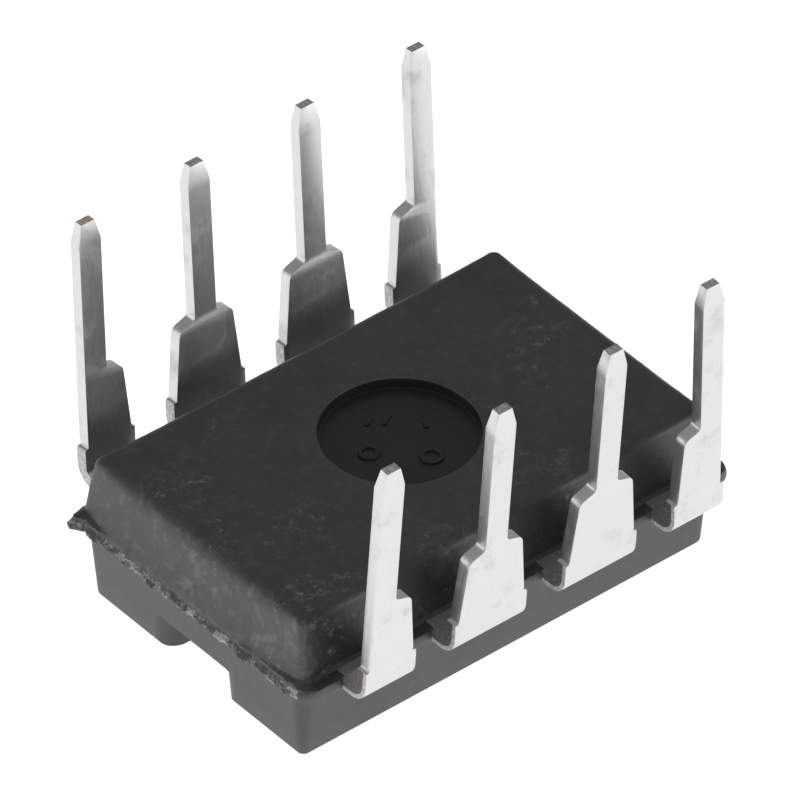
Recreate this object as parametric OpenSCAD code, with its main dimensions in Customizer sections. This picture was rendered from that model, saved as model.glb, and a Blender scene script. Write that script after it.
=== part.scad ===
// Eight-lead dual in-line chip, lying on its marking face with its legs pointing up.
// +Z is up and the marking face is at z = 0. X runs along the rows of legs, and the
// index notch is at the -X end. The origin is under the middle of the body.
// Legs 1 to 4 stand on the +Y side and legs 5 to 8 on the -Y side.

/* [Package] */
// Distance between neighbouring legs of a row
pitch = 2.54; // [2.1:0.01:3.1]
// Distance between the two rows, at the middle of the metal just past the bends
row_span = 7.80; // [6.5:0.05:9.4]
// Plastic beyond the last leg of a row, at the parting plane
end_margin = 0.99; // [0.8:0.01:1.3]
// Height of the plastic, from the marking face to the back
body_h = 3.13; // [2.6:0.01:3.8]
// Slope of the sides towards the marking face, in degrees
draft_face = 5; // [2:0.5:8]
// Slope of the sides towards the back, in degrees
draft_back = 7; // [2:0.5:10]
// Radius of the rim around the marking face
rim_face_r = 0.10; // [0.04:0.01:0.25]
// Radius of the rim around the back
rim_back_r = 0.20; // [0.04:0.01:0.35]

/* [Mould marks] */
// How far the mould flash stands out between the legs
flash_side = 0.33; // [0.1:0.01:0.45]
// How far the mould flash stands out at the two ends
flash_end = 0.20; // [0.05:0.01:0.4]
// Size of the cut across each corner of the flash
flash_corner = 0.30; // [0.1:0.01:0.6]
// Width of the index notch between its straight walls
notch_w = 1.50; // [1.2:0.01:2.0]
// Depth of the index notch from the end of the body
notch_depth = 0.85; // [0.5:0.01:1.1]
// Height of the index notch from the marking face to its ceiling
notch_h = 0.75; // [0.5:0.01:1.1]
// Radius of the rounded upright edges at the mouth of the notch
notch_mouth_r = 0.36; // [0.1:0.01:0.5]
// Diameter of the round ejector recess in the back
recess_d = 2.96; // [2.4:0.01:3.6]
// Depth of the ejector recess
recess_depth = 0.22; // [0.1:0.01:0.4]

/* [Legs] */
// Height of the underside of the lead frame above the marking face
frame_z = 1.66; // [1.3:0.01:2.0]
// Thickness of the lead frame
frame_t = 0.25; // [0.2:0.01:0.32]
// Level run of a leg from the body to the start of its bend
lead_run = 0.57; // [0.48:0.01:0.8]
// Outer radius of the bend
bend_r = 0.40; // [0.34:0.01:0.6]
// Outward slant that the legs are formed to, in degrees
splay = 4.6; // [0:0.1:8]
// Width of the narrow pin
pin_w = 0.49; // [0.4:0.01:0.6]
// Height of the inner corner where the pin meets its shoulder
shoulder_z = 3.97; // [3.3:0.01:4.7]
// Width across the two shoulders at their top
shoulder_w = 1.215; // [1.0:0.01:1.5]
// How much lower a shoulder is at its outer corner
shoulder_drop = 0.12; // [0:0.01:0.3]
// Radius of a shoulder's outer corner
shoulder_r = 0.10; // [0.04:0.01:0.15]
// Width of a leg at the foot of its taper and in the body wall
foot_w = 1.50; // [1.3:0.01:1.6]
// Height of the cut dam bar stubs
stub_z = 2.42; // [2.35:0.01:2.7]
// How far a dam bar stub stands out from the side of its leg
stub_out = 0.07; // [0.03:0.01:0.12]
// Height of the leg tips
tip_z = 7.23; // [6.0:0.01:8.7]
// Length of the coined taper at the tip
coin_len = 0.40; // [0.2:0.01:0.8]
// Width of the end of the tip
tip_w = 0.30; // [0.2:0.01:0.4]
// Thickness of the end of the tip
tip_t = 0.18; // [0.12:0.01:0.2]

/* [Inside] */
// Length of the die paddle along the body
paddle_len = 3.00; // [2.4:0.01:3.6]
// Width of the die paddle
paddle_wid = 2.20; // [1.8:0.01:2.64]
// Gap between the paddle and the fingers, and between the tie bars and the fingers
finger_gap = 0.25; // [0.15:0.01:0.3]
// Width of a finger
finger_w = 0.60; // [0.45:0.01:0.7]
// Length of the wide root of a finger in the body wall
root_len = 0.35; // [0.25:0.01:0.5]
// Width of the tie bars
tie_w = 0.76; // [0.4:0.01:0.9]
// Offset of the tie bars from the middle of the body
tie_y = 0.28; // [0:0.01:0.35]
// How far the cut ends of the tie bars lie behind the edge of the flash
tie_recess = 0.10; // [0.02:0.01:0.15]
// Length of the die
die_len = 1.70; // [1.3:0.01:2.1]
// Width of the die
die_wid = 1.30; // [1.0:0.01:1.6]
// Thickness of the die
die_t = 0.28; // [0.2:0.01:0.35]
// Thickness of the adhesive under the die
glue_t = 0.03; // [0.02:0.01:0.06]
// How far the adhesive is squeezed out past the die
glue_out = 0.08; // [0.02:0.01:0.1]
// Diameter of a bond wire
wire_d = 0.03; // [0.02:0.005:0.05]
// Height of a wire's loop over the line between its ends
wire_rise = 0.26; // [0.15:0.01:0.4]
// Distance of the bond pads from the edge of the die
pad_inset = 0.14; // [0.08:0.01:0.2]

/* [Hidden] */
$fn = 48;
// Flats round a bond wire
WIRE_SIDES = 8;

// Each leg: side of the body, place in its row, lean along the row and outward slant
// in degrees. The legs have been handled, so no two stand quite alike.
LEGS = [[1, 0, 1.4, 4.0],
        [1, 1, 1.2, 4.6],
        [1, 2, 1.4, 4.8],
        [1, 3, 1.6, 4.7],
        [-1, 3, -1.3, 2.0],
        [-1, 2, -0.6, 5.3],
        [-1, 1, -0.5, 5.3],
        [-1, 0, -0.5, 5.5]];
ROW = 4;

EPOXY = [0.17, 0.17, 0.18];
TIN = [0.82, 0.82, 0.80];
FRAME = [0.72, 0.45, 0.32];
GLUE = [0.75, 0.75, 0.72];
SILICON = [0.35, 0.37, 0.45];
GOLD = [0.93, 0.74, 0.30];

frame_top = frame_z + frame_t;
frame_mid = frame_z + frame_t / 2;
// Centre of the bend, measured out from the middle of the body
neutral_r = bend_r - frame_t / 2;
bend_y = row_span / 2 - neutral_r * (1 - sin(splay)) / cos(splay);
bend_z = frame_z + bend_r;
// Half sizes of the plastic at the parting plane, and of its flash
belt_x = (ROW - 1) * pitch / 2 + end_margin;
belt_y = bend_y - lead_run;
flash_x = belt_x + flash_end;
flash_y = belt_y + flash_side;
// Fingers in the plastic
root_y = belt_y - root_len;
tip_y = paddle_wid / 2 + finger_gap;
side_tip_x = paddle_len / 2 + finger_gap + finger_w / 2;
side_tip_y = tie_y + tie_w / 2 + finger_gap;
turn_y = (root_y + side_tip_y) / 2;
// Die, seen from the frame towards the marking face
die_z = frame_z - glue_t - die_t;
ball_d = 3 * wire_d;
ball_h = 1.6 * wire_d;
stitch_h = wire_d;
// Room to spare on a cutting tool
spare = 1;

function place_x(n) = (LEGS[n - 1][1] - (ROW - 1) / 2) * pitch;
function side(n) = LEGS[n - 1][0];
function outward(n) = LEGS[n - 1][1] == 0 ? -1 : LEGS[n - 1][1] == ROW - 1 ? 1 : 0;

// ---- Shared outlines ----

// Points along an arc, from the angle a to the angle b
function arc(centre, r, a, b, steps) =
    [for (i = [0:steps]) centre + r * [cos(a + (b - a) * i / steps), sin(a + (b - a) * i / steps)]];

// The left half of an outline, from the points of its right half
function flip(points) = [for (i = [len(points) - 1:-1:0]) [-points[i][0], points[i][1]]];

// Section of the plastic across one of its two directions, with rounded rims
module section(half) {
    face = half - frame_z * tan(draft_face) - rim_face_r / tan(45 + draft_face / 2);
    back = half - (body_h - frame_top) * tan(draft_back) - rim_back_r / tan(45 + draft_back / 2);
    right = concat(arc([face, rim_face_r], rim_face_r, -90, -draft_face, 4),
                   [[half, frame_z], [half, frame_top]],
                   arc([back, body_h - rim_back_r], rim_back_r, draft_back, 90, 4));
    polygon(concat(right, flip(right)));
}

// ---- Body ----

module moulding() {
    intersection() {
        rotate([90, 0, 0]) linear_extrude(2 * belt_y + spare, center = true) section(belt_x);
        rotate([90, 0, 90]) linear_extrude(2 * belt_x + spare, center = true) section(belt_y);
    }
}

// Thin ledge of plastic squeezed out at the parting plane, as thick as the lead frame
module flash() {
    c = flash_corner;
    translate([0, 0, frame_z]) linear_extrude(frame_t)
        polygon([[-flash_x, c - flash_y], [c - flash_x, -flash_y],
                 [flash_x - c, -flash_y], [flash_x, c - flash_y],
                 [flash_x, flash_y - c], [flash_x - c, flash_y],
                 [c - flash_x, flash_y], [-flash_x, flash_y - c]]);
}

// The notch that marks the end with legs 1 and 8, flared at its mouth
module index_notch() {
    mouth = -belt_x + frame_z * tan(draft_face);
    r = notch_mouth_r;
    w = notch_w / 2;
    translate([0, 0, -spare]) linear_extrude(spare + notch_h) {
        translate([mouth - spare, -w]) square([spare + notch_depth, notch_w]);
        for (m = [0, 1]) mirror([0, m]) difference() {
            translate([mouth - spare, 0]) square([spare + r, w + r]);
            translate([mouth + r, w + r]) circle(r);
        }
    }
}

module ejector_recess() {
    translate([0, 0, body_h - recess_depth]) cylinder(h = recess_depth + spare, d = recess_d);
}

module body() {
    color(EPOXY) difference() {
        union() {
            moulding();
            flash();
        }
        index_notch();
        ejector_recess();
        for (n = [1:8]) {
            leg(n);
            wire(n);
        }
        paddle();
        die_glue();
        die_block();
        for (m = [0, 1]) mirror([m, 0, 0])
            translate([flash_x - 2 * tie_recess, tie_y - tie_w / 2, frame_z]) cube([spare, tie_w, frame_t]);
    }
}

// ---- Legs ----

// A point beside the leg's inner face: reach out from the bend's centre, rise up the leg
function up_leg(slant, reach, rise) =
    [bend_y, bend_z] + [reach * cos(slant) + rise * sin(slant), rise * cos(slant) - reach * sin(slant)];

// Side view of a bent leg: out from its finger, round the bend and up to the tip
module leg_section(slant, start_y) {
    inner_r = bend_r - frame_t;
    rise = (tip_z - bend_z) / cos(slant) + neutral_r * tan(slant);
    thin = (frame_t - tip_t) / 2;
    polygon(concat([[start_y, frame_z]],
                   arc([bend_y, bend_z], bend_r, -90, -slant, 8),
                   [up_leg(slant, bend_r, rise - coin_len), up_leg(slant, bend_r - thin, rise),
                    up_leg(slant, inner_r + thin, rise), up_leg(slant, inner_r, rise - coin_len)],
                   arc([bend_y, bend_z], inner_r, -slant, -90, 6),
                   [[start_y, frame_top]]));
}

// Half of a leg's front view, from its middle outwards: a shouldered side or a plain one.
// Below the stubs it is open, because the plan sets the width there.
function front_half(shoulder) =
    let (edge = [shoulder_w / 2, shoulder_z - shoulder_drop],
         slope = atan2(shoulder_drop, (shoulder_w - pin_w) / 2),
         taper = atan2((foot_w - shoulder_w) / 2, edge[1] - stub_z),
         half = (90 + slope - taper) / 2,
         centre = edge + shoulder_r / sin(half) * [cos(180 - slope + half), sin(180 - slope + half)])
    concat([[2 * pitch, frame_z - frame_t], [2 * pitch, stub_z]],
           shoulder ? concat([[foot_w / 2, stub_z]], arc(centre, shoulder_r, taper, 90 - slope, 4))
                    : [[pin_w / 2, stub_z]],
           shoulder ? [[pin_w / 2, shoulder_z]] : [],
           [[pin_w / 2, tip_z - coin_len], [tip_w / 2, tip_z + frame_t * tan(splay)]]);

// Plan of a leg: its finger, its root in the body wall, and the dam bar stubs outside.
// The fingers of the end legs turn in to the ends of the paddle.
module leg_plan(n) {
    step_in = abs(place_x(n)) - side_tip_x;
    outer = (outward(n) == 0 ? foot_w : pin_w) / 2;
    finger = outward(n) == 0
        ? [[-foot_w / 2, root_y], [-finger_w / 2, root_y], [-finger_w / 2, tip_y],
           [finger_w / 2, tip_y], [finger_w / 2, root_y]]
        : [[-foot_w / 2, root_y], [outer - finger_w, root_y],
           [outer - finger_w, turn_y + finger_w / 2], [-finger_w / 2 - step_in, side_tip_y + finger_w],
           [-finger_w / 2 - step_in, side_tip_y], [finger_w / 2 - step_in, side_tip_y],
           [outer, turn_y]];
    mirror([outward(n) < 0 ? 1 : 0, 0])
        polygon(concat([[-foot_w / 2 - stub_out, row_span], [-foot_w / 2 - stub_out, flash_y],
                        [-foot_w / 2, flash_y]],
                       finger,
                       [[outer, root_y], [outer, flash_y], [outer + stub_out, flash_y],
                        [outer + stub_out, row_span]]));
}

// The inner corner of a stub, filled by the metal that was smeared in when the dam bar
// was cut and the leg was formed
module stub_fill(slant) {
    inner_r = bend_r - frame_t;
    inner_y = bend_y + (inner_r + (stub_z - bend_z) * sin(slant)) / cos(slant);
    into = frame_t / 3;
    polygon([[inner_y, stub_z], [flash_y, frame_top], [flash_y, frame_top - into],
             [bend_y, frame_top - into], [bend_y + inner_r + into, bend_z], [inner_y + into, stub_z]]);
}

module leg(n) {
    slant = LEGS[n - 1][3];
    lean = LEGS[n - 1][2];
    // Width of the filled corner along the row
    fill_w = 0.15;
    translate([place_x(n), 0, 0]) mirror([0, side(n) < 0 ? 1 : 0, 0]) {
        intersection() {
            rotate([90, 0, 90]) linear_extrude(4 * pitch, center = true) leg_section(slant, tip_y / 2);
            translate([0, row_span, bend_z]) rotate([90, 0, 0]) linear_extrude(row_span)
                rotate(-lean) translate([0, -bend_z])
                    polygon(concat(front_half(outward(n) != 1), flip(front_half(outward(n) != -1))));
            translate([0, 0, frame_z - frame_t]) linear_extrude(tip_z) leg_plan(n);
        }
        for (s = [-1, 1]) {
            half = (s == outward(n) ? pin_w : foot_w) / 2 + stub_out;
            translate([s > 0 ? half - fill_w : -half, 0, 0])
                rotate([90, 0, 90]) linear_extrude(fill_w) stub_fill(slant);
        }
    }
}

module lead(n) {
    color(TIN) leg(n);
}

// ---- Inside ----

module paddle() {
    translate([0, 0, frame_z]) linear_extrude(frame_t) {
        square([paddle_len, paddle_wid], center = true);
        translate([0, tie_y]) square([2 * (flash_x - tie_recess), tie_w], center = true);
    }
}

module die_glue() {
    translate([0, 0, frame_z - glue_t]) linear_extrude(glue_t)
        square([die_len + 2 * glue_out, die_wid + 2 * glue_out], center = true);
}

module die_block() {
    translate([0, 0, die_z]) linear_extrude(die_t) square([die_len, die_wid], center = true);
}

module die_paddle() {
    color(FRAME) paddle();
}

module die_attach() {
    color(GLUE) die_glue();
}

module silicon_die() {
    color(SILICON) die_block();
}

// Where a wire starts on the die and where it lands on its finger
function pad(n) = let (s = sign(place_x(n)))
    outward(n) == 0 ? [s * die_len / 4, side(n) * (die_wid / 2 - pad_inset)]
                    : [s * (die_len / 2 - pad_inset), side(n) * die_wid / 4];
function landing(n) =
    outward(n) == 0 ? [place_x(n), side(n) * (tip_y + finger_w / 3)]
                    : [outward(n) * side_tip_x, side(n) * (side_tip_y + finger_w / 2)];

// A wire is a ball on the die, one arc and a stitch on the finger. Heights here are
// measured from the frame's underside towards the marking face.
module wire(n) {
    from = pad(n);
    to = landing(n);
    run = norm(to - from);
    start_h = frame_z - die_z + ball_h / 2;
    drop = start_h - stitch_h / 2;
    chord = norm([run, drop]);
    arc_r = (pow(chord / 2, 2) + pow(wire_rise, 2)) / (2 * wire_rise);
    swing = asin(chord / 2 / arc_r);
    translate([from[0], from[1], frame_z])
        rotate([0, 0, atan2(to[1] - from[1], to[0] - from[0])]) rotate([-90, 0, 0])
            translate([0, start_h, 0]) rotate([0, 0, -atan2(drop, run)])
                translate([chord / 2, wire_rise - arc_r, 0]) rotate([0, 0, 90 - swing])
                    rotate_extrude(angle = 2 * swing) translate([arc_r, 0]) circle(d = wire_d, $fn = WIRE_SIDES);
    translate([from[0], from[1], die_z - ball_h]) cylinder(h = ball_h, d = ball_d, $fn = WIRE_SIDES);
    translate([to[0], to[1], frame_z - stitch_h]) cylinder(h = stitch_h, d = ball_d, $fn = WIRE_SIDES);
}

module bond_wire(n) {
    color(GOLD) wire(n);
}

body();
lead(1);  // lead_1
lead(2);  // lead_2
lead(3);  // lead_3
lead(4);  // lead_4
lead(5);  // lead_5
lead(6);  // lead_6
lead(7);  // lead_7
lead(8);  // lead_8
die_paddle();
die_attach();
silicon_die();
bond_wire(1);  // bond_wire_1
bond_wire(2);  // bond_wire_2
bond_wire(3);  // bond_wire_3
bond_wire(4);  // bond_wire_4
bond_wire(5);  // bond_wire_5
bond_wire(6);  // bond_wire_6
bond_wire(7);  // bond_wire_7
bond_wire(8);  // bond_wire_8
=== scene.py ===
# %% [markdown]
# # An eight-leg chip lying on its back
# The chip is a block of black moulded epoxy with two rows of stamped, tinned legs. It lies on
# its marking face with the legs in the air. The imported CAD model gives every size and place.
# The CAD shapes are exact but too clean, so the two things that anyone looks at, the plastic
# and the legs, are modelled again here with their rounded edges, mould flash and cut marks.

# %% Load the frame
import math

import bmesh
import bpy
from mathutils import Matrix, Vector, noise


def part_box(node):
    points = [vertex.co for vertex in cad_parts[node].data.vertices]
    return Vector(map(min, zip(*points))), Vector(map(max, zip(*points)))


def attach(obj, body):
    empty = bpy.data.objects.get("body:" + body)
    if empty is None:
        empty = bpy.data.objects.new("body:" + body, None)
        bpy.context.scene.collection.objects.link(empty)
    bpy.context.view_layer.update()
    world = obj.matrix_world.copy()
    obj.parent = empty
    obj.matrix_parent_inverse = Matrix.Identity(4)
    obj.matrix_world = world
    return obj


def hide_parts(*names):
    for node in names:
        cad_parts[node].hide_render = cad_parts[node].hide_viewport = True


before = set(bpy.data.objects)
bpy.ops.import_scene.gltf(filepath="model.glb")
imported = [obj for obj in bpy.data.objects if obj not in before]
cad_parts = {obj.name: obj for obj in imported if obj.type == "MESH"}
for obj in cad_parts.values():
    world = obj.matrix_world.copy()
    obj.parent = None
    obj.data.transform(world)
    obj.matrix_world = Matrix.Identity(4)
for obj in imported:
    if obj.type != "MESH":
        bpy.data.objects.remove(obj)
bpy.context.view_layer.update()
MM = 0.001

# %% [markdown]
# ## The camera
# The real chip was seen from a long way off through a long lens, so its edges stay nearly
# parallel. A long lens and a far camera give the same calm perspective. The camera is made
# first, because everything after it is judged through it.

# %% Place the camera
CAM_AZIMUTH, CAM_ELEVATION = math.radians(-39.58), math.radians(39.88)
CAM_DISTANCE = 286.6 * MM
CAM_TARGET = Vector((0.680, 0.816, 3.002)) * MM
CAM_LENS, CAM_SENSOR = 722.4, 36


def place_camera():
    camera = bpy.data.objects.new("camera", bpy.data.cameras.new("camera"))
    bpy.context.scene.collection.objects.link(camera)
    back = Vector((math.sin(CAM_AZIMUTH) * math.cos(CAM_ELEVATION),
                   -math.cos(CAM_AZIMUTH) * math.cos(CAM_ELEVATION),
                   math.sin(CAM_ELEVATION)))
    camera.location = CAM_TARGET + back * CAM_DISTANCE
    camera.rotation_mode = "QUATERNION"
    camera.rotation_quaternion = (-back).to_track_quat("-Z", "Y")
    camera.data.lens = CAM_LENS
    camera.data.sensor_width = CAM_SENSOR
    camera.data.clip_start = 0.01
    camera.data.clip_end = 10
    bpy.context.scene.camera = camera


place_camera()
print(f"camera {CAM_DISTANCE / MM:.0f} mm away, with a {CAM_LENS:.0f} mm lens")

# %% [markdown]
# ## Writing materials as sums
# A finish such as scuffed plastic is mostly arithmetic on noise patterns. Adding each Math node
# by hand hides the idea, so a small class wraps a socket: `noise * 0.3 + 0.1` then adds the
# nodes by itself. Everything else comes from one method that makes any node.

# %% A wrapper for sockets, and one method for every node
class Wire:
    """An output socket that can be used in a sum."""

    def __init__(self, shop, socket):
        self.shop, self.socket = shop, socket

    def maths(self, operation, *values):
        return self.shop.node("ShaderNodeMath", {"operation": operation}, *values)

    def __add__(self, other):
        return self.maths("ADD", self, other)

    def __mul__(self, other):
        return self.maths("MULTIPLY", self, other)

    def __sub__(self, other):
        return self.maths("SUBTRACT", self, other)

    def __rsub__(self, other):
        return self.maths("SUBTRACT", other, self)

    __radd__, __rmul__ = __add__, __mul__


class Shop:
    """One material, and the patterns that it is made from. Lengths in it are millimetres."""

    def __init__(self, name):
        self.material = bpy.data.materials.new(name)
        self.material.use_nodes = True
        self.tree = self.material.node_tree
        self.tree.nodes.clear()
        self.place = self.node("ShaderNodeVectorMath", {"operation": "SCALE"},
                               self.node("ShaderNodeTexCoord", out="Object"), Scale=1 / MM)

    def node(self, kind, settings=None, *values, out=0, numbered=None, **named):
        """Sockets are given in order, by their number or by their name."""
        made = self.tree.nodes.new(kind)
        for key, value in (settings or {}).items():
            setattr(made, key, value)
        for key, value in [*enumerate(values), *(numbered or {}).items(), *named.items()]:
            socket = made.inputs[key if isinstance(key, int) else key.replace("_", " ")]
            if isinstance(value, Wire):
                self.tree.links.new(value.socket, socket)
            else:
                socket.default_value = value
        return Wire(self, made.outputs[out]) if made.outputs else None

    def noise(self, scale, detail=4.0, rough=0.6, at=None):
        return self.node("ShaderNodeTexNoise", None, Vector=at or self.place, Scale=scale,
                         Detail=detail, Roughness=rough)

    def step(self, value, low, high):
        """0 below low, 1 above high and a soft ramp between."""
        return self.node("ShaderNodeMapRange", {"interpolation_type": "SMOOTHSTEP"},
                         value, low, high, 0.0, 1.0)

    def blend(self, share, first, second):
        """Mixes two colours. A Mix node keeps its colour sockets at 6 and 7, and gives 2."""
        return self.node("ShaderNodeMix", {"data_type": "RGBA"}, share, out=2,
                         numbered={6: first, 7: second})

    def bump(self, height, depth, strength=1.0):
        """depth is how far a height of 1 stands out, in millimetres."""
        return self.node("ShaderNodeBump", None, Height=height, Distance=depth * MM,
                         Strength=strength)

    def finish(self, **sockets):
        shader = self.node("ShaderNodeBsdfPrincipled", None, **sockets)
        self.node("ShaderNodeOutputMaterial", None, Surface=shader)
        return self.material


def grey(value, tint=(1.0, 1.0, 1.0)):
    return (*(value * share for share in tint), 1.0)


print("a mid grey is written as", grey(0.2))


# %% [markdown]
# ## Moulding epoxy
# The plastic is black epoxy packed with glass powder. It is dark grey rather than black, a
# little glossy where it left a smooth mould, and its skin carries fine grain. Handling leaves
# pale specks and smears, most of them near the rims. The smears come from two noises that are
# multiplied, so they gather in patches instead of lying evenly. Where the flash broke off,
# the plastic is crumbly and paler, and its bright streaks are also painted highlights of the
# lip's edge catching light. The floor of the recess is the smoothest and darkest.

# %% Where the plastic is rubbed
# spots on the back that have been rubbed: x and y in mm, and how wide each is
RUBBED = [(-4.5, -2.3, 0.9), (-3.7, -2.7, 0.8), (-4.5, -0.4, 0.9), (-3.9, 1.2, 1.1),
          (-3.2, -0.9, 1.0), (3.7, 0.75, 0.7), (2.9, -0.2, 0.6), (-1.3, -2.6, 0.8),
          (-2.3, 2.3, 0.7), (1.2, -2.4, 0.7)]
RUB_BASE, RUB_MORE, RUB_DRIFT = 0.16, 0.8, 2.4


def rubbed_places(shop):
    """A little everywhere, and more at the spots, whose outlines a noise makes uneven."""
    flat = shop.node("ShaderNodeVectorMath", {"operation": "MULTIPLY"}, shop.place, (1, 1, 0))
    drift = shop.noise(1.7, 3, 0.6) - 0.5
    rubbed = RUB_BASE
    for x, y, wide in RUBBED:
        away = shop.node("ShaderNodeVectorMath", {"operation": "DISTANCE"}, flat, (x, y, 0),
                         out="Value") + drift * RUB_DRIFT
        rubbed = (1 - shop.step(away, wide * 0.2, wide * 1.1)) * RUB_MORE + rubbed
    return rubbed


# %% The plastic's finish
def epoxy_finish():
    shop = Shop("moulded_epoxy")
    grain = shop.noise(24, 3, 0.65)
    cloud = shop.noise(1.1, 3, 0.6)
    mottle = shop.noise(5.5, 3, 0.6)
    rubbed = rubbed_places(shop)
    across = shop.node("ShaderNodeSeparateXYZ", None, shop.place, out="X")
    height = shop.node("ShaderNodeSeparateXYZ", None, shop.place, out="Z")
    above = shop.step(height, 1.7, 2.1)
    end = shop.step(across * -1, 4.45, 4.72) * above
    torn_speck = shop.step(shop.noise(5.2, 4, 0.68), 0.56, 0.70)
    contour = shop.noise(2.6, 2, 0.5) - 0.5
    hair = 1 - shop.step(contour.maths("ABSOLUTE", contour), 0.003, 0.014)
    smear = shop.step(shop.noise(3.2, 3, 0.6), 0.50, 0.66)
    dust = shop.step(shop.noise(34, 2, 0.6), 0.66, 0.76) * shop.step(cloud, 0.40, 0.60)
    scuff = ((torn_speck * 0.5 + hair * 0.16) * rubbed * above + smear * rubbed * above * 0.13
             + dust * 0.20 + end * smear * 0.17)
    patches = shop.step(cloud * 0.6 + mottle * 0.4, 0.36, 0.62)
    base = shop.blend(patches, grey(0.017), grey(0.028))
    colour = shop.blend(scuff, base, grey(0.24, (1.0, 1.0, 0.98)))
    rough = 0.36 + grain * 0.12 + cloud * 0.12 + scuff * 0.2
    relief = shop.bump(grain + mottle * 1.2 + scuff * 1.5, 0.006, 0.9)
    return shop.finish(Base_Color=colour, Roughness=rough, Normal=relief, IOR=1.70)


# %% Broken epoxy with painted highlights, and the floor that an ejector pin left
def broken_and_highlight_finish():
    shop = Shop("broken_epoxy_and_highlight")
    crumb = shop.noise(15, 5, 0.7)
    torn = shop.noise(2.2, 3, 0.6)
    # the bright patches are partly paler broken plastic and partly painted highlights where the
    # lip's lower edge catches light
    pale_break_and_highlight = shop.step(crumb * 0.8 + torn, 0.82, 1.12)
    colour = shop.blend(pale_break_and_highlight, grey(0.075), grey(0.42, (1.0, 0.99, 0.97)))
    return shop.finish(Base_Color=colour, Roughness=0.75, Normal=shop.bump(crumb, 0.03))


def pin_floor_finish():
    shop = Shop("ejector_pin_floor")
    grain = shop.noise(20, 3, 0.6)
    cloud = shop.noise(1.6, 3, 0.5)
    colour = shop.blend(cloud, grey(0.009), grey(0.018))
    return shop.finish(Base_Color=colour, Roughness=0.34 + grain * 0.1 + cloud * 0.1,
                       Normal=shop.bump(grain, 0.003, 0.8), IOR=1.45)


# %% [markdown]
# ## Tin plate and bare cuts
# The legs are copper alloy strip with a satin tin plate. Tin is a soft white metal: its
# reflections are broad, its roughness wanders, and it picks up short scratches along the leg
# and small dull stains. Where a tool cut the leg after plating, at the tips and the dam bar
# stubs, the torn metal is bare, darker and rougher.

# %% Tin plate
def tin_finish():
    shop = Shop("tin_plate")
    stretched = shop.node("ShaderNodeMapping", None, Vector=shop.place, Scale=(9.0, 9.0, 1.1))
    drawn = shop.noise(2.2, 4, 0.6, stretched)
    stain = shop.step(shop.noise(1.3, 4, 0.65), 0.52, 0.72)
    fleck = shop.step(shop.noise(14, 2, 0.6), 0.66, 0.76)
    base = shop.blend(stain * 0.6, grey(0.65, (1.0, 0.995, 0.985)), grey(0.52, (1.0, 0.99, 0.97)))
    colour = shop.blend(fleck * 0.5, base, grey(0.45))
    rough = 0.32 + drawn * 0.18 + stain * 0.16
    relief = shop.bump(drawn + shop.noise(18, 3, 0.6) * 0.5, 0.004, 0.8)
    return shop.finish(Base_Color=colour, Metallic=1.0, Roughness=rough, Normal=relief)


# %% Bare cuts, and all the finishes together
def cut_finish(name, tint, shade):
    shop = Shop(name)
    torn = shop.noise(16, 5, 0.7)
    colour = shop.blend(shop.step(torn, 0.35, 0.65), grey(shade * 0.7, tint),
                        grey(shade * 1.25, tint))
    relief = shop.bump(torn, 0.02)
    return shop.finish(Base_Color=colour, Metallic=0.75, Roughness=0.5 + torn * 0.2,
                       Normal=relief)


EPOXY = epoxy_finish()
BROKEN_AND_HIGHLIGHT = broken_and_highlight_finish()
PIN_FLOOR = pin_floor_finish()
TIN = tin_finish()
CUT = cut_finish("torn_metal", (1.0, 0.97, 0.95), 0.16)
BURNISH = cut_finish("burnished_cut", (1.0, 0.99, 0.97), 0.56)
TIP_CUT = cut_finish("tip_cut", (1.0, 0.98, 0.96), 0.52)
COPPER_CUT = cut_finish("copper_cut", (1.0, 0.74, 0.66), 0.75)
BODY_FINISHES = [EPOXY, BROKEN_AND_HIGHLIGHT, PIN_FLOOR]
LEG_FINISHES = [TIN, CUT, BURNISH, TIP_CUT, COPPER_CUT]
print("finishes:", ", ".join(finish.name for finish in BODY_FINISHES + LEG_FINISHES))

# %% [markdown]
# ## Sizes from the CAD frame
# Nothing here is measured twice: each size comes from the box of the CAD piece that has it.
# The paddle lies in the plane of the lead frame, so its box gives the height of the parting
# plane, and the body's box ends at the tips of the mould flash.

# %% Read the sizes, in millimetres
def box_mm(node):
    low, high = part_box(node)
    return Vector(low) / MM, Vector(high) / MM


LEDGE_LOW, LEDGE_HIGH = (corner.z for corner in box_mm("die_paddle"))
FLASH_X, FLASH_Y, BODY_HIGH = box_mm("body")[1]
END_REACH, SIDE_REACH = 0.20, 0.33
BELT_X, BELT_Y = FLASH_X - END_REACH, FLASH_Y - SIDE_REACH
SLOPE_LOW, SLOPE_HIGH = 5, 7  # degrees that the walls lean in, below and above the frame
DRAFT_LOW, DRAFT_HIGH = math.tan(math.radians(SLOPE_LOW)), math.tan(math.radians(SLOPE_HIGH))
print(f"belt {2 * BELT_X:.2f} x {2 * BELT_Y:.2f}, "
      f"frame {LEDGE_LOW:.2f} to {LEDGE_HIGH:.2f}, back at {BODY_HIGH:.2f}")

# %% [markdown]
# ## Handing a shape over
# Every shape is modelled in millimetres, because numbers such as 0.25 are easier to read than
# 0.00025. At the end it is merged, its normals are turned outwards, its crisp edges are marked
# and it is scaled to metres. The object itself stays at the origin, unturned.
# A cut is made by a Boolean modifier on two short-lived objects, and read back as a shape.

# %% Hand a finished piece over
MERGE = 0.0001


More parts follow.
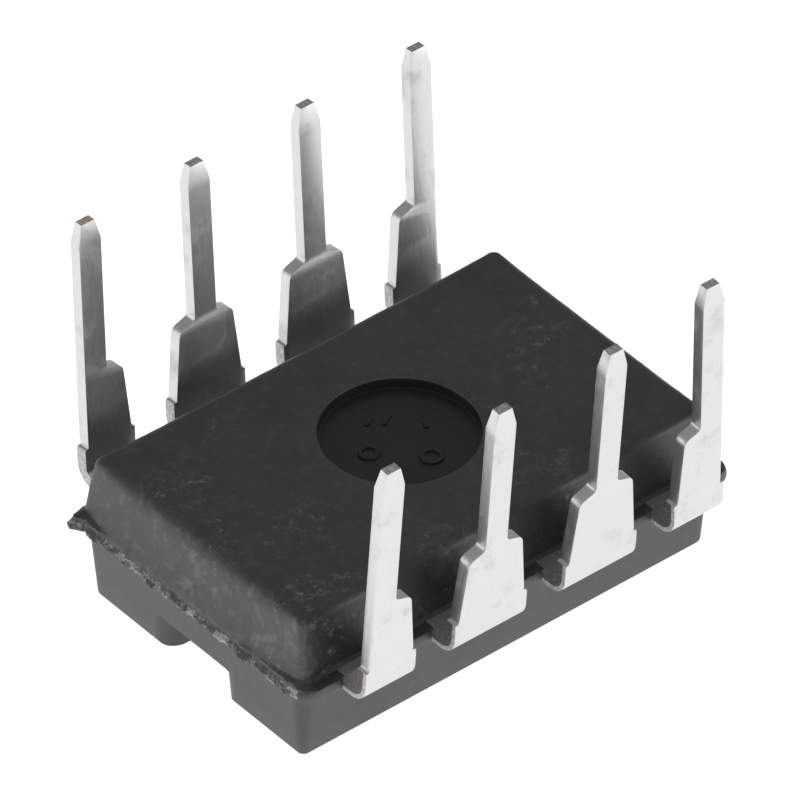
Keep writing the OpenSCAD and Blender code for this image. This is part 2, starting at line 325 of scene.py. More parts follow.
def hand_over(name, shape, finishes, node, crisp):
    """crisp is the angle in degrees from which an edge is shaded as an edge."""
    bmesh.ops.remove_doubles(shape, verts=shape.verts, dist=MERGE)
    bmesh.ops.recalc_face_normals(shape, faces=shape.faces)
    for face in shape.faces:
        face.smooth = True
    for edge in shape.edges:
        edge.smooth = edge.calc_face_angle(0.0) < math.radians(crisp)
    bmesh.ops.scale(shape, vec=(MM, MM, MM), verts=shape.verts)
    mesh = bpy.data.meshes.new(name)
    shape.to_mesh(mesh)
    open_edges = sum(not edge.is_manifold for edge in shape.edges)
    shape.free()
    for finish in finishes:
        mesh.materials.append(finish)
    piece = bpy.data.objects.new(name, mesh)
    bpy.context.scene.collection.objects.link(piece)
    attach(piece, "root")
    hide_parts(node)
    print(f"{name}: {len(mesh.polygons)} faces, {open_edges} open edges")


# %% Cut a shape, extrude a loop of edges and paint faces
def carve(shape, tool):
    holders = []
    for part in (shape, tool):
        mesh = bpy.data.meshes.new("carving")
        part.to_mesh(mesh)
        part.free()
        holders.append(bpy.data.objects.new("carving", mesh))
        bpy.context.scene.collection.objects.link(holders[-1])
    cut = holders[0].modifiers.new("cut", "BOOLEAN")
    cut.object = holders[1]
    cut.operation = "DIFFERENCE"
    cut.solver = "EXACT"
    cut.use_self = True
    carved = bmesh.new()
    carved.from_object(holders[0], bpy.context.evaluated_depsgraph_get())
    bmesh.ops.triangulate(carved, faces=[face for face in carved.faces if len(face.verts) > 4])
    for holder in holders:
        bpy.data.meshes.remove(holder.data)
    return carved


def extrude_loop(shape, edges):
    """Extrudes a loop of edges, and gives the new points, their loop and the new faces."""
    made = bmesh.ops.extrude_edge_only(shape, edges=edges)["geom"]
    verts = [item for item in made if isinstance(item, bmesh.types.BMVert)]
    faces = [item for item in made if isinstance(item, bmesh.types.BMFace)]
    edges = [item for item in made if isinstance(item, bmesh.types.BMEdge)]
    known = set(verts)
    return verts, [edge for edge in edges if set(edge.verts) <= known], faces


def edges_of(verts):
    """The edges at some points, each once and in a steady order."""
    return list(dict.fromkeys(edge for vert in verts for edge in vert.link_edges))


def paint(faces, finishes, finish):
    for face in faces:
        face.material_index = finishes.index(finish)


# %% [markdown]
# ## The outline of the plastic
# A moulded block is a stack of rounded rectangles. One ring of points is made once: a square
# whose corners are bevelled and whose sides are cut into short steps. Each point remembers
# which way is out, and how far along its side it stands. With those two notes a point can be
# placed on a rectangle with any corner radius and any reach, so the whole block is this one
# ring, extruded upwards again and again.

# %% The ring
RING_RADIUS, RING_CORNER_STEPS, RING_STEP = 0.4, 7, 0.05


def blend_of(first, second, share):
    return first + (second - first) * share


def start_ring():
    shape = bmesh.new()
    bmesh.ops.create_grid(shape, x_segments=1, y_segments=1, size=1)
    bmesh.ops.scale(shape, vec=(BELT_X, BELT_Y, 1), verts=shape.verts)
    bmesh.ops.bevel(shape, geom=shape.verts[:], offset=RING_RADIUS, offset_type="OFFSET",
                    segments=RING_CORNER_STEPS, profile=0.5, affect="VERTICES", material=-1)
    for side in [edge for edge in shape.edges if edge.calc_length() > 2 * RING_RADIUS]:
        bmesh.ops.subdivide_edges(shape, edges=[side], cuts=round(side.calc_length() / RING_STEP))
    out_note = shape.verts.layers.float_vector.new("out")
    hub_note = shape.verts.layers.float_vector.new("hub")
    span = Vector((BELT_X - RING_RADIUS, BELT_Y - RING_RADIUS, 1))
    for vert in shape.verts:
        hub = Vector([max(-1, min(1, vert.co[i] / span[i])) for i in range(2)] + [0])
        vert[hub_note] = hub
        centre = Vector((hub.x * span.x, hub.y * span.y, vert.co.z))
        vert[out_note] = (vert.co - centre).normalized()
    return shape, out_note, hub_note


block, OUT, HUB = start_ring()
print("points in the ring:", len(block.verts))


# %% Place a point, grow the next ring, and make a surface uneven
END_FACING = 0.7  # a face looks out of an end where its way out has more than this of X


def settle(vert, radius, reach, height):
    hub, out = vert[HUB], vert[OUT]
    vert.co = (hub.x * (BELT_X - radius) + out.x * (radius + reach),
               hub.y * (BELT_Y - radius) + out.y * (radius + reach), height)


def grow(edges, rule, finish=EPOXY):
    """Extrudes a ring of edges. The rule gives a point's radius, reach and height. The finish
    goes on the two ends only."""
    verts, loop, faces = extrude_loop(block, edges)
    for vert in verts:
        settle(vert, *rule(vert[HUB], vert[OUT]))
    for face in faces:
        at_end = abs(face.verts[0][OUT].x) > END_FACING
        paint([face], BODY_FINISHES, finish if at_end else EPOXY)
    return loop


def ripple(hub, scale, seed):
    """A smooth random number for a place on the ring, from about -1 to 1."""
    place = Vector((hub.x * BELT_X, hub.y * BELT_Y, 0))
    return noise.noise(place * scale + Vector((seed, 2 * seed, 0)))


# %% [markdown]
# ## The two walls
# Each wall slopes inwards from the parting plane so that the block comes out of its mould. The
# rim round the marking face is tight. The rim round the back is softer, and softest over the
# notched end, where the block has been rubbed. A last narrow ring on each flat face holds the
# shading of the rim away from the face.

# %% Rules for the lower wall and its rim
RADIUS_LOW, RADIUS_LEDGE, RADIUS_HIGH = 0.30, 0.17, 0.34
RIM_LOW = 0.10
HOLD = 0.03  # how wide the ring is that holds a rim's shading
print("corner radii in mm:", RADIUS_LOW, RADIUS_LEDGE, RADIUS_HIGH)


def rim_centre(wall, rim, slope):
    """The reach of a rim's centre, where its round meets a wall that leans in by slope."""
    return wall - rim / math.tan(math.radians((90 + slope) / 2))


def low_rim(turn, inset=0.0):
    """turn is 0 at the marking face and 1 at the wall."""
    angle = math.radians(blend_of(-90, -SLOPE_LOW, turn))
    centre = rim_centre(-LEDGE_LOW * DRAFT_LOW, RIM_LOW, SLOPE_LOW)
    return lambda hub, out: (RADIUS_LOW, centre + RIM_LOW * math.cos(angle) - inset,
                             RIM_LOW + RIM_LOW * math.sin(angle))


def low_wall(height):
    reach = (height - LEDGE_LOW) * DRAFT_LOW
    return lambda hub, out: (RADIUS_LOW, reach + 0.004 * ripple(hub, 1.1, 3), height)


# %% Rules for the upper wall and its rim
FOOT_SWELL, END_SWELL, SWELL_HEIGHT, SWELL_FADE = 0.03, 0.11, 1.94, 0.26
RIM_HIGH, RIM_CORNER, RIM_END = 0.20, 0.07, 0.24
WORN = 0.014


def west_share(out):
    return max(0.0, -out.x) ** 3


def west_middle(hub, out):
    """1 along the middle of the notched end, and 0 at its corners."""
    return west_share(out) * (1 - hub.y ** 4)


def corner_radius(height):
    """The upright corners are tight, and open out only where the rim rounds over."""
    share = (height - LEDGE_HIGH) / (BODY_HIGH - LEDGE_HIGH)
    return blend_of(RADIUS_LEDGE, RADIUS_HIGH, share ** 4)


def high_wall(height):
    fade = math.exp(-max(0.0, height - SWELL_HEIGHT) / SWELL_FADE)

    def rule(hub, out):
        spread = (FOOT_SWELL + END_SWELL * west_middle(hub, out)) * fade
        uneven = 0.006 * ripple(hub, 1.3, 5) + 0.02 * west_share(out) * ripple(hub, 2.4, 6)
        reach = (LEDGE_HIGH - height) * DRAFT_HIGH + spread + uneven
        return corner_radius(height), reach, height
    return rule


def high_rim(turn, inset=0.0):
    """turn is 0 at the wall and 1 at the back."""
    angle = math.radians(blend_of(SLOPE_HIGH, 90, turn))

    def rule(hub, out):
        near_corner = abs(hub.x * hub.y) ** 6
        rim = (RIM_HIGH - RIM_CORNER * near_corner + RIM_END * west_middle(hub, out)
               + 0.01 * ripple(hub, 1.7, 9))
        centre = rim_centre((LEDGE_HIGH - BODY_HIGH) * DRAFT_HIGH, rim, SLOPE_HIGH)
        worn = WORN * (ripple(hub, 5, 11) + 0.6 * ripple(hub, 12, 12)) * math.sin(math.pi * turn)
        reach = centre + rim * math.cos(angle) - inset + worn * (0.4 + 0.6 * west_share(out))
        height = BODY_HIGH - rim + rim * math.sin(angle)
        return corner_radius(height), reach, height
    return rule


# %% [markdown]
# ## The mould flash
# Epoxy that was squeezed between the mould halves stands out as a ledge as thick as the lead
# frame. Between the legs it was sheared off cleanly. At the ends it broke off instead and left
# a ragged lip with a groove above it, so the rules blend a clean section and a broken one.

# %% Rules for the flash
HORN_REACH = 0.20       # the small horn of flash at the corner by leg 1
TORN_IN = 0.01          # how far the broken lip stays inside the CAD ledge, on the whole
TORN_FLOOR = 0.125      # the least that a break leaves of the lip
CORNER_SHRINK = 0.75    # how much of the sheared ledge is missing beside the horn


def near(first, second, x, y, size):
    """1 at a place, and 0 from size away."""
    return max(0.0, 1 - math.hypot(first - x, second - y) / size)


def ledge(side_reach, side_height, end_reach, end_height, torn):
    """The reaches are shares of the whole ledge, and torn is the size of the random breaks."""
    floor_reach = TORN_FLOOR if end_reach > 0.1 else 0.0

    def rule(hub, out):
        end = out.x ** 2
        ragged = (0.075 * ripple(hub, 3.6, 21) + 0.045 * ripple(hub, 11, 22)
                  + 0.03 * ripple(hub, 26, 23))
        sheared = 0.014 * ripple(hub, 2.6, 24) + 0.012 * ripple(hub, 15, 25)
        broken = END_REACH - TORN_IN + ragged * min(1.0, torn * 2)
        whole = blend_of(SIDE_REACH + sheared, broken, end)
        whole *= 1 - CORNER_SHRINK * near(hub.x, hub.y, -1, 1, 0.10) * (1 - end)
        horn = HORN_REACH * near(hub.x, hub.y, -1, 1, 0.05) * near(out.x, out.y, -0.94, 0.34, 0.45)
        reach = blend_of(side_reach, end_reach, end) * whole + horn * end_reach
        lift = torn * end * (0.05 * ripple(hub, 7, 26) + 0.05 * ripple(hub, 19, 27))
        return (RADIUS_LEDGE, max(floor_reach if end > 0.5 else 0.0, reach),
                blend_of(side_height, end_height, end) + lift)
    return rule


LEDGE_RULES = [
    # clean reach, clean height, broken reach, broken height, breaks
    (0.00, 1.662, 0.00, 1.645, 0.0),
    (0.97, 1.664, 0.70, 1.640, 0.3),
    (1.00, 1.690, 0.98, 1.675, 0.7),
    (1.00, 1.800, 1.00, 1.725, 1.0),
    (1.00, 1.870, 0.80, 1.770, 1.0),
    (0.98, 1.893, 0.64, 1.810, 0.7),
    (0.90, 1.900, 0.68, 1.860, 0.7),
    (0.30, 1.902, 0.70, 1.915, 0.4),
]


# %% Grow the block
# these rows carry the broken finish, whose bright patches are partly painted highlights
BROKEN_RULES = range(1, 6)  # the rows of the table that are broken plastic at the ends
RIM_STEPS = 8


def grow_block():
    bottom = block.edges[:]
    bmesh.ops.delete(block, geom=block.faces[:], context="FACES_ONLY")
    for vert in block.verts:
        settle(vert, *low_rim(0, HOLD)(vert[HUB], vert[OUT]))
    loop = bottom
    for turn in (0, 0.25, 0.5, 0.75, 1):
        loop = grow(loop, low_rim(turn))
    for height in (0.6, 1.15, 1.5):
        loop = grow(loop, low_wall(height))
    for count, rule in enumerate(LEDGE_RULES):
        loop = grow(loop, ledge(*rule), BROKEN_AND_HIGHLIGHT if count in BROKEN_RULES else EPOXY)
    for height in (1.96, 2.06, 2.2, 2.4, 2.6):
        loop = grow(loop, high_wall(height))
    for turn in range(RIM_STEPS + 1):
        loop = grow(loop, high_rim(turn / RIM_STEPS))
    loop = grow(loop, high_rim(1, HOLD))
    bmesh.ops.triangle_fill(block, use_beauty=True, edges=bottom)
    return loop


top_loop = grow_block()
print("edges round the back:", len(top_loop))

# %% [markdown]
# ## The ejector recess
# A pin pushed the block out of its mould and left a round, shallow recess in the back. It is a
# circle that is extruded down in rings, with small radii at its lip and floor. The flat face
# between the rim and the circle is then filled.

# %% Sink the recess
RECESS_RADIUS, RECESS_DEPTH = 1.48, 0.22
RECESS_CENTRE = Vector((0.04, 0.05, 0))
LIP_RADIUS, LIP_OUT = 0.035, 0.03
FLOOR_RADIUS, WALL_IN, FLOOR_IN = 0.02, 0.012, 0.08
LIP_RINGS = 3  # the rings past this one, from the wall down, were left by the pin


def recess_rings():
    """The reach from the recess's radius, and the height from the back, of each ring."""
    rings = [(LIP_OUT, 0.0)]
    rings += [(LIP_OUT - LIP_RADIUS * math.sin(a), LIP_RADIUS * math.cos(a) - LIP_RADIUS)
              for a in (0.5, 1.0, 1.5)]
    rings += [(-WALL_IN, FLOOR_RADIUS + 0.01 - RECESS_DEPTH)]
    rings += [(-WALL_IN - FLOOR_RADIUS * (1 - math.cos(a)),
               FLOOR_RADIUS - FLOOR_RADIUS * math.sin(a) - RECESS_DEPTH) for a in (0.7, 1.57)]
    return rings + [(-FLOOR_IN, -RECESS_DEPTH)]


def sink_recess():
    centre = RECESS_CENTRE + Vector((0, 0, BODY_HIGH))
    made = bmesh.ops.create_circle(block, segments=144, radius=RECESS_RADIUS + 0.1,
                                   matrix=Matrix.Translation(centre))
    lip = loop = edges_of(made["verts"])
    for count, (reach, height) in enumerate(recess_rings()):
        verts, loop, faces = extrude_loop(block, loop)
        for vert in verts:
            out = (vert.co - RECESS_CENTRE).xy.normalized()
            vert.co = (*(RECESS_CENTRE.xy + out * (RECESS_RADIUS + reach)), BODY_HIGH + height)
        paint(faces, BODY_FINISHES, PIN_FLOOR if count > LIP_RINGS else EPOXY)
    floor_face = bmesh.ops.contextual_create(block, geom=loop)["faces"]
    paint(floor_face, BODY_FINISHES, PIN_FLOOR)
    bmesh.ops.triangle_fill(block, use_beauty=True, edges=top_loop + lip)


sink_recess()
print("block:", len(block.faces), "faces")

# %% [markdown]
# ## Marks on the pin's floor
# Mould makers mark the end of such a pin. The marks here are plain: three raised dashes and two
# rings. A dash is a cube with softened edges, and a ring is a circle grown outwards in loops
# until it closes on itself. Both reach a little below the floor, so nothing shows a seam.

# %% Raise a mark
MARK_STEPS, MARK_HIGH, MARK_SLOPE, MARK_SUNK = 28, 0.036, 0.012, -0.02
DASH_THICK, DASH_EDGE = 0.07, 0.02
MARK_BASE = BODY_HIGH - RECESS_DEPTH


def mark_place(spot, turn):
    place = Matrix.Translation(RECESS_CENTRE + Vector((*spot, MARK_BASE)))
    return place @ Matrix.Rotation(math.radians(turn), 4, "Z")


def raise_dash(spot, turn, length, width):
    at = mark_place(spot, turn) @ Matrix.Diagonal((length, width, DASH_THICK, 1))
    verts = bmesh.ops.create_cube(block, size=1, matrix=at)["verts"]
    paint({face for vert in verts for face in vert.link_faces}, BODY_FINISHES, PIN_FLOOR)
    top = [edge for edge in edges_of(verts) if sum(v.co.z for v in edge.verts) > 2 * MARK_BASE]
    bmesh.ops.bevel(block, geom=top, offset=DASH_EDGE, offset_type="OFFSET", segments=2,
                    profile=0.5, affect="EDGES", material=-1)


def raise_ring(spot, outer, inner):
    at = mark_place(spot, 0)
    first = bmesh.ops.create_circle(block, segments=MARK_STEPS, radius=outer, matrix=at)["verts"]
    verts, loop = list(first), edges_of(first)
    for radius, height in ((outer - MARK_SLOPE, MARK_HIGH), (inner + MARK_SLOPE, MARK_HIGH),
                           (inner, 0.0), (inner, MARK_SUNK), (outer, MARK_SUNK)):
        grown, loop, faces = extrude_loop(block, loop)
        for vert in grown:
            out = (vert.co - at.translation).xy.normalized() * radius
            vert.co = at.translation + Vector((*out, height))
        verts += grown
    closing = [edge for edge in edges_of(first) if edge.is_boundary]
    bmesh.ops.bridge_loops(block, edges=loop + closing)
    paint({face for vert in verts for face in vert.link_faces}, BODY_FINISHES, PIN_FLOOR)


# %% [markdown]
# ## The index notch
# The notch tells which end has leg 1. Its tool is a plain stepped outline: the two corners at
# its mouth are bevelled, which leaves the rounded upright edges of the plastic, and its deep
# corners and its ceiling get small radii. It is cut out of the block in one go, and the marks
# are raised after it, because a cut is surest on a plain block.

# %% The notch's tool
NOTCH_HALF, NOTCH_DEEP, NOTCH_HIGH, NOTCH_MOUTH = 0.75, 0.85, 0.76, 0.40
NOTCH_SHIFT, NOTCH_DROP = 0.06, 0.5
NOTCH_CORNER, NOTCH_CEILING = 0.12, 0.07


def notch_tool():
    mouth = -BELT_X + LEDGE_LOW * DRAFT_LOW
    wide = NOTCH_HALF + NOTCH_MOUTH
    tool = bmesh.new()
    outline = [(mouth + NOTCH_DEEP, NOTCH_HALF), (mouth, NOTCH_HALF), (mouth, wide),
               (mouth - 1, wide)]
    outline += [(x, -y) for x, y in reversed(outline)]
    verts = [tool.verts.new((x, y + NOTCH_SHIFT, -NOTCH_DROP)) for x, y in outline]
    tool.faces.new(verts)
    for corners, radius, steps in (((1, 6), NOTCH_MOUTH - 0.01, 10), ((0, 7), NOTCH_CORNER, 5)):
        bmesh.ops.bevel(tool, geom=[verts[i] for i in corners], offset=radius,
                        offset_type="OFFSET", segments=steps, profile=0.5, affect="VERTICES",
                        material=-1)
    made = bmesh.ops.extrude_face_region(tool, geom=tool.faces[:], use_keep_orig=True)["geom"]
    bmesh.ops.translate(tool, vec=(0, 0, NOTCH_DROP + NOTCH_HIGH),
                        verts=[item for item in made if isinstance(item, bmesh.types.BMVert)])
    ceiling = [edge for edge in tool.edges if min(v.co.z for v in edge.verts) > NOTCH_HIGH - 0.01]
    bmesh.ops.bevel(tool, geom=ceiling, offset=NOTCH_CEILING, offset_type="OFFSET", segments=4,
                    profile=0.5, affect="EDGES", material=-1)
    for vert in tool.verts:
        vert.co.x -= vert.co.z * DRAFT_LOW
    bmesh.ops.recalc_face_normals(tool, faces=tool.faces)
    return tool


# %% Cut the notch, raise the marks and hand the body over
bmesh.ops.recalc_face_normals(block, faces=block.faces)
block = carve(block, notch_tool())
raise_dash((-0.10, 0.74), 28, 0.26, 0.08)
raise_dash((0.16, 0.56), 28, 0.26, 0.08)
raise_ring((-0.66, 0.06), 0.21, 0.12)
raise_ring((0.14, -0.72), 0.23, 0.13)
raise_dash((0.62, 0.02), 62, 0.16, 0.10)
hand_over("body_shell", block, BODY_FINISHES, "body", crisp=34)

# %% [markdown]
# ## The legs
# A leg is a stamped strip, and it is made here in the factory's order. The blank is cut flat,
# with its wide foot, its two shoulders and the stubs where a dam bar was trimmed away. It gets
# its thickness and softened edges, its tip is coined to a taper, and then the strip is folded
# up. A stamped and bent leg has its round bend and rolled edges for free this way. The end legs
# of a row have no shoulder on their outer side, so they are called plain on that side.

# %% Sizes of the legs
STRIP = LEDGE_HIGH - LEDGE_LOW
BEND_RADIUS = 0.40
NEUTRAL = BEND_RADIUS - STRIP / 2
BEND_Z = LEDGE_LOW + BEND_RADIUS
BEND_Y = BELT_Y + 0.57
PITCH = 2.54
PIN_HALF, FOOT_HALF, SHOULDER_HALF, TIP_HALF = 0.245, 0.75, 0.6075, 0.15
STUB_OUT, STUB_Z = 0.07, 2.42
SHOULDER_TOP, SHOULDER_EDGE = 3.97, 3.85
COIN_LENGTH, TIP_Z, TIP_THICK = 0.40, 7.23, 0.18
FILL_WIDTH = 0.15
ROOT_LENGTH = 0.35
ROOT = BELT_Y - ROOT_LENGTH
FINGER, FINGER_END = 0.60, 1.35
SIDE_FINGER_END, STEP_IN = 0.91, 1.76

# side of the body, place in the row, lean along the row and outward slant in degrees
LEGS = [(1, 0, 1.4, 4.0), (1, 1, 1.2, 4.6), (1, 2, 1.4, 4.8), (1, 3, 1.6, 4.7),
        (-1, 3, -1.3, 2.0), (-1, 2, -0.6, 5.3), (-1, 1, -0.5, 5.3), (-1, 0, -0.5, 5.5)]
print(f"strip {STRIP:.2f} thick, folded {BEND_Y - BELT_Y:.2f} outside the plastic")

# %% [markdown]
# ## The fold
# The middle of a strip keeps its length when it is bent, so lengths are counted along that
# neutral line: flat as far as the bend, then round it, then straight up. One class answers both
# questions, which are where a place on the strip goes and which place a height came from.

# %% Fold a strip
class Bend:
    """Turns a place on the flat strip into a place on the folded leg."""

    def __init__(self, slant):
        self.slant = math.radians(slant)
        self.turn = math.pi / 2 - self.slant
        self.low = BEND_Z - NEUTRAL * math.sin(self.slant)

    def along(self, height):
        """How far along the flat strip a height on the folded leg is."""
        return BEND_Y + NEUTRAL * self.turn + (height - self.low) / math.cos(self.slant)

    def fold(self, along, thick):
        past = along - BEND_Y
        if past <= 0:
            return along, LEDGE_LOW + thick
        angle = min(past / NEUTRAL, self.turn)
        rest = past - NEUTRAL * angle
        reach = BEND_RADIUS - thick
        return (BEND_Y + reach * math.sin(angle) + rest * math.cos(self.turn),
                BEND_Z - reach * math.cos(angle) + rest * math.sin(self.turn))


print(f"an upright leg is {Bend(0).along(TIP_Z) - ROOT:.2f} mm of strip")

# %% [markdown]
# ## The flat blank
# The blank is one flat face. Its outline is written as a right and a left edge, from the finger
# inside the plastic to the tip, and its shoulders and stubs are then rounded with bevels.

# %% The outline of the blank
STUB_ROUNDS, SHOULDER_ROUNDS = ((3, 0.02), (4, 0.03)), ((5, 0.11), (6, 0.07))


def finger_edges(plain_right, plain_left):
    """The outline of a finger inside the plastic, as its right and its left edge. The fingers
    of the end legs turn in to the ends of the paddle, where their bond wires land."""
    half = FINGER / 2
    if not (plain_right or plain_left):
        return [(half, FINGER_END), (half, ROOT)], [(half, FINGER_END), (half, ROOT)]
    turn = (ROOT + SIDE_FINGER_END) / 2
    outer = [(half - STEP_IN, SIDE_FINGER_END), (PIN_HALF, turn)]
    inner = [(half + STEP_IN, SIDE_FINGER_END), (half + STEP_IN, SIDE_FINGER_END + FINGER),
             (FINGER - PIN_HALF, turn + half), (FINGER - PIN_HALF, ROOT)]
    return (outer, inner) if plain_right else (inner, outer)


def half_width(plain):
    return PIN_HALF if plain else FOOT_HALF


def leg_edge(bend, plain):
    """The outline of one side of the leg, from where it leaves the finger to its tip."""
    half, stub_top = half_width(plain), bend.along(STUB_Z)
    points = [(half, ROOT), (half, FLASH_Y), (half + STUB_OUT, FLASH_Y),
              (half + STUB_OUT, stub_top), (half, stub_top)]
    if not plain:
        points += [(SHOULDER_HALF, bend.along(SHOULDER_EDGE)),
                   (PIN_HALF, bend.along(SHOULDER_TOP))]
    return points + [(PIN_HALF, bend.along(TIP_Z - COIN_LENGTH)), (TIP_HALF, bend.along(TIP_Z))]


def stamp_blank(bend, plain_right, plain_left):
    blank = bmesh.new()
    sides, outline = [], []
    for sign, plain, finger in zip((1, -1), (plain_right, plain_left),
                                   finger_edges(plain_right, plain_left)):
        verts = [blank.verts.new((sign * x, y, 0)) for x, y in finger + leg_edge(bend, plain)]
        outline += verts[::sign]
        sides.append((verts[len(finger):], plain))
    blank.faces.new(outline)
    for points, plain in sides:
        for index, radius in STUB_ROUNDS + (() if plain else SHOULDER_ROUNDS):
            bmesh.ops.bevel(blank, geom=[points[index]], offset=radius, offset_type="OFFSET",
                            segments=5, profile=0.5, affect="VERTICES", material=-1)
    return blank


# %% [markdown]
# ## From blank to leg
# A flat face has no points along its length to bend at, so it is first sliced into short rows,
# closely round the bend and widely up the pin. Solidify gives it the strip's thickness, and a
# small bevel rolls its edges. The cut faces are named while the strip is still flat, because
# that is when they are easy to find. Only then is each point moved to its folded place.

# %% Slice and thicken a blank
BEND_ROW, PIN_ROW, PIN_CLEAR, ROW_CLEAR = 0.055, 0.22, 0.3, 0.02
EDGE_ROLL, ROLL_FROM = 0.018, BELT_Y - 0.2


def cut_across(shape, spots, normal):
    for spot in spots:
        geom = shape.verts[:] + shape.edges[:] + shape.faces[:]
        bmesh.ops.bisect_plane(shape, geom=geom, dist=0.0005, plane_co=Vector(normal) * spot,
                               plane_no=normal)


def slice_blank(blank, bend, fill_right, fill_left):
    stub_top, tip = bend.along(STUB_Z), bend.along(TIP_Z)
    pin_start = BEND_Y + NEUTRAL * bend.turn + PIN_CLEAR
    bend_rows = round((stub_top - FLASH_Y) / BEND_ROW)
    pin_rows = round((tip - pin_start) / PIN_ROW)
    rows = [FLASH_Y + ROW_CLEAR + step * BEND_ROW for step in range(bend_rows)]
    rows += [pin_start + step * PIN_ROW for step in range(pin_rows)]
    cut_across(blank, [row for row in rows if row < tip - 0.05], (0, 1, 0))
    cut_across(blank, [fill_right, fill_right + ROW_CLEAR, -fill_left, -fill_left - ROW_CLEAR],
               (1, 0, 0))


def thicken(blank):
    bmesh.ops.solidify(blank, geom=blank.faces[:], thickness=STRIP)
    low = min(vert.co.z for vert in blank.verts)
    bmesh.ops.translate(blank, vec=(0, 0, -low), verts=blank.verts)
    bmesh.ops.recalc_face_normals(blank, faces=blank.faces)
    cut_across(blank, [0.09, 0.18], (0, 0, 1))
    rims = [edge for edge in blank.edges if edge.calc_face_angle(0.0) > math.radians(40)
            and min(vert.co.y for vert in edge.verts) > ROLL_FROM]
    bmesh.ops.bevel(blank, geom=rims, offset=EDGE_ROLL, offset_type="OFFSET", segments=2,
                    profile=0.5, affect="EDGES", material=-1, clamp_overlap=True)


# %% Name the cut faces
SQUARE_ON, NEAR_CUT, BURNISH_HIGH = 0.8, 0.02, 0.10


def name_cuts(blank, bend, side, fill_right, fill_left, tip_finish):
    """A stub is torn where it broke, and burnished where the trimming tool slid past it."""
    stub_top, tip = bend.along(STUB_Z), bend.along(TIP_Z)
    for face in blank.faces:
        middle = face.calc_center_median()
        half = (fill_right if middle.x > 0 else fill_left) + FILL_WIDTH
        if face.normal.y > SQUARE_ON and middle.y > tip - NEAR_CUT:
            paint([face], LEG_FINISHES, tip_finish)
        elif (abs(face.normal.x) > SQUARE_ON and abs(middle.x) > half - NEAR_CUT
              and FLASH_Y < middle.y < stub_top):
            burnished = middle.z < BURNISH_HIGH or side > 0
            paint([face], LEG_FINISHES, BURNISH if burnished else CUT)


# %% Coin, crease and fold a leg
CREASE_HIGH, CREASE_WIDE = 0.014, 0.06


def fold_leg(blank, bend, side, place, lean, fill_right, fill_left):
    """On the -Y row each stub's inner face runs straight from the flash to the stub's top,
    which fills the inside of the bend there."""
    stub_top, tip = bend.along(STUB_Z), bend.along(TIP_Z)
    coin = bend.along(TIP_Z - COIN_LENGTH)
    first, last = Vector((FLASH_Y, LEDGE_HIGH)), Vector((bend.fold(stub_top, STRIP)[0], STUB_Z))
    across = (last - first).orthogonal().normalized()
    for vert in blank.verts:
        x, along, thick = vert.co
        if along > coin:
            share = (along - coin) / (tip - coin)
            thick = STRIP / 2 + (thick - STRIP / 2) * blend_of(1, TIP_THICK / STRIP, share)
        if thick < 0.02:
            thick += CREASE_HIGH * math.exp(-((along - stub_top) / CREASE_WIDE) ** 2)
        y, z = bend.fold(along, thick)
        fill = fill_right if x > 0 else fill_left
        share = (along - FLASH_Y) / (stub_top - FLASH_Y)
        if side < 0 and abs(x) > fill + 0.01 and 0.0 <= share <= 1.0 and thick > STRIP - 0.03:
            y, z = first + (last - first) * share - across * (thick - STRIP)
        x += max(0.0, z - BEND_Z) * math.tan(math.radians(lean)) + (place - 1.5) * PITCH
        vert.co = (x, side * y, z)


# %% Make the eight legs
def make_leg(number, side, place, lean, slant):
    bend = Bend(slant)
    plain_right, plain_left = place == 3, place == 0
    fills = [half_width(plain) + STUB_OUT - FILL_WIDTH for plain in (plain_right, plain_left)]
    blank = stamp_blank(bend, plain_right, plain_left)
    slice_blank(blank, bend, *fills)
    thicken(blank)
    name_cuts(blank, bend, side, *fills, COPPER_CUT if number == 1 else TIP_CUT)
    fold_leg(blank, bend, side, place, lean, *fills)
    hand_over(f"leg_{number}", blank, LEG_FINISHES, f"lead_{number}", crisp=40)


for number, leg in enumerate(LEGS, 1):
    make_leg(number, *leg)

# %% [markdown]
# ## What the plastic hides
# The paddle, its adhesive, the die and the gold wires keep their CAD shapes. They only show when
# the body is taken away, yet each still gets a finish of its own: copper alloy, silver-filled
# adhesive, polished silicon with a faint grid of circuits, and gold.

# %% Finishes for the inside
def alloy_finish():
    shop = Shop("copper_alloy")
    mottle = shop.noise(1.8, 4, 0.6)
    stretched = shop.node("ShaderNodeMapping", None, Vector=shop.place, Scale=(0.6, 12.0, 6.0))
    rolled = shop.noise(4, 3, 0.6, stretched)
    colour = shop.blend(mottle, (0.78, 0.42, 0.28, 1), (0.60, 0.30, 0.19, 1))
    return shop.finish(Base_Color=colour, Metallic=1.0, Roughness=0.28 + rolled * 0.2,
                       Normal=shop.bump(rolled, 0.003))


def adhesive_finish():
    shop = Shop("silver_adhesive")
    flakes = shop.noise(34, 3, 0.6)
    return shop.finish(Base_Color=shop.blend(flakes, grey(0.42), grey(0.70)), Metallic=0.6,
                       Roughness=0.45 + flakes * 0.25, Normal=shop.bump(flakes, 0.006))


def silicon_finish():
    shop = Shop("silicon")
    square = {"feature": "F1", "distance": "CHEBYCHEV"}
    cells = shop.node("ShaderNodeTexVoronoi", square, Vector=shop.place, Scale=7.0,
                      Randomness=0.7, out="Color")
    lanes = shop.step(shop.node("ShaderNodeTexVoronoi", square, Vector=shop.place, Scale=16.0,
                                Randomness=0.4), 0.3, 0.4)
    tinted = shop.blend(0.35, (0.10, 0.12, 0.20, 1), cells)
    colour = shop.blend(lanes * 0.5, tinted, (0.30, 0.33, 0.42, 1))
    return shop.finish(Base_Color=colour, Metallic=0.7, Roughness=0.16 + lanes * 0.15)


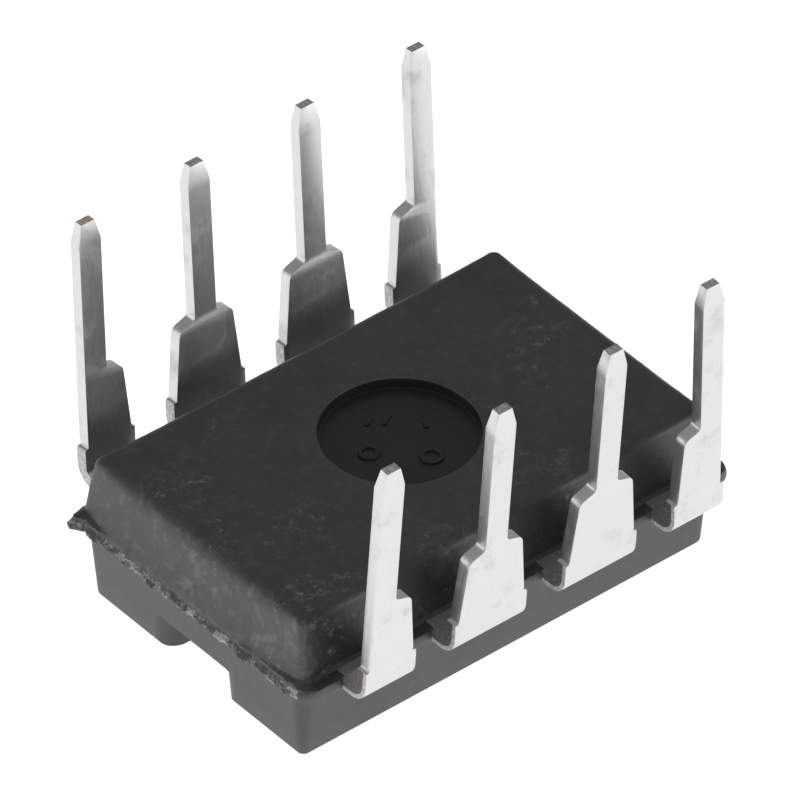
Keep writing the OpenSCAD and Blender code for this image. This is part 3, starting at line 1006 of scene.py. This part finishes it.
def gold_finish():
    shop = Shop("gold")
    drawn = shop.noise(30, 2, 0.5)
    colour = shop.blend(drawn, (1.0, 0.70, 0.27, 1), (0.94, 0.60, 0.20, 1))
    return shop.finish(Base_Color=colour, Metallic=1.0, Roughness=0.2 + drawn * 0.1)


# %% Give the hidden parts their finishes
INSIDE = {"die_paddle": alloy_finish(), "die_attach": adhesive_finish(),
          "silicon_die": silicon_finish()}
GOLD = gold_finish()
INSIDE.update({f"bond_wire_{number}": GOLD for number in range(1, 9)})
for node, finish in INSIDE.items():
    for material_slot in bpy.data.objects[node].material_slots:
        material_slot.material = finish
print("finishes given to", len(INSIDE), "hidden parts")

# %% [markdown]
# ## The light table
# The chip lies on a white, evenly lit table in a pale room, so the floor glows a little. The
# glow matters for the chip as well: its lower walls and the outer faces of the legs look down
# at the table and take their brightness from it, while the back looks up at the dimmer room.

# %% The table
TABLE_HALF, TABLE_DROP, TABLE_GLOW = 1.5, 0.003 * MM, 0.90


def light_table():
    shape = bmesh.new()
    bmesh.ops.create_grid(shape, x_segments=1, y_segments=1, size=TABLE_HALF,
                          matrix=Matrix.Translation((0, 0, -TABLE_DROP)))
    mesh = bpy.data.meshes.new("light_table")
    shape.to_mesh(mesh)
    shape.free()
    shop = Shop("white_table")
    white = shop.blend(shop.noise(0.8, 3, 0.5), grey(0.80), grey(0.84))
    mesh.materials.append(shop.finish(Base_Color=white, Roughness=0.7, Emission_Color=grey(1.0),
                                      Emission_Strength=TABLE_GLOW))
    table = bpy.data.objects.new("light_table", mesh)
    bpy.context.scene.collection.objects.link(table)


light_table()
print(f"table {2 * TABLE_HALF:.0f} m wide")

# %% Lamps and room
# the place of each lamp, its width in metres and its power in watts
LAMPS = {"overhead": ((-0.25, -0.30, 0.55), 0.35, 0.6),
         "left_fill": ((-0.55, 0.38, 0.14), 0.35, 0.5),
         "front_right_fill": ((0.46, -0.64, 0.08), 0.40, 1.6)}
ROOM_GLOW = 0.31


def lamp(name, place, size, watts):
    light = bpy.data.lights.new(name, "AREA")
    light.shape = "DISK"
    light.size = size
    light.energy = watts
    holder = bpy.data.objects.new(name, light)
    holder.location = place
    holder.rotation_mode = "QUATERNION"
    holder.rotation_quaternion = Vector(place).to_track_quat("Z", "Y")
    bpy.context.scene.collection.objects.link(holder)


def room(strength):
    world = bpy.data.worlds.new("room")
    bpy.context.scene.world = world
    world.use_nodes = True
    glow = world.node_tree.nodes["Background"].inputs
    glow["Color"].default_value = grey(1.0)
    glow["Strength"].default_value = strength


for name, setting in LAMPS.items():
    lamp(name, *setting)
room(ROOM_GLOW)
bpy.context.scene.view_settings.view_transform = "Standard"
print("lamps:", ", ".join(LAMPS))
